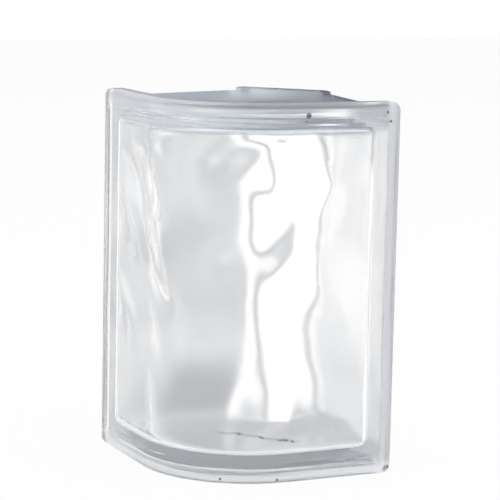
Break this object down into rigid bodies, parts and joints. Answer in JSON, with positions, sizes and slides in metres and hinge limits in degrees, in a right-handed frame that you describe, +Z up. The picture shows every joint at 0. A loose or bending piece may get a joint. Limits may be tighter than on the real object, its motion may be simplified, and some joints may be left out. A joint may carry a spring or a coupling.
{
  "type": "corner glass block",
  "caption": "Hollow clear glass block for turning the corner of a glass-block wall: outer faces joined by a rounded corner, flat diagonal inner face, wavy inside relief, mortar channel.",
  "frame": {"origin": "middle of the footprint's bounding box, on the floor the block stands on", "axes": "+Z up along the block's height; +X and +Y along the two outer faces, away from the rounded corner, which points to -X -Y; the diagonal inner face looks towards +X +Y"},
  "size_m": [0.115, 0.115, 0.19],
  "materials": {
    "clear_glass": "clear pressed glass, smooth outside and wavy inside, matt in the mortar channel"
  },
  "bodies": {
    "root": {"glass_block": "clear_glass"}
  },
  "joints": []
}
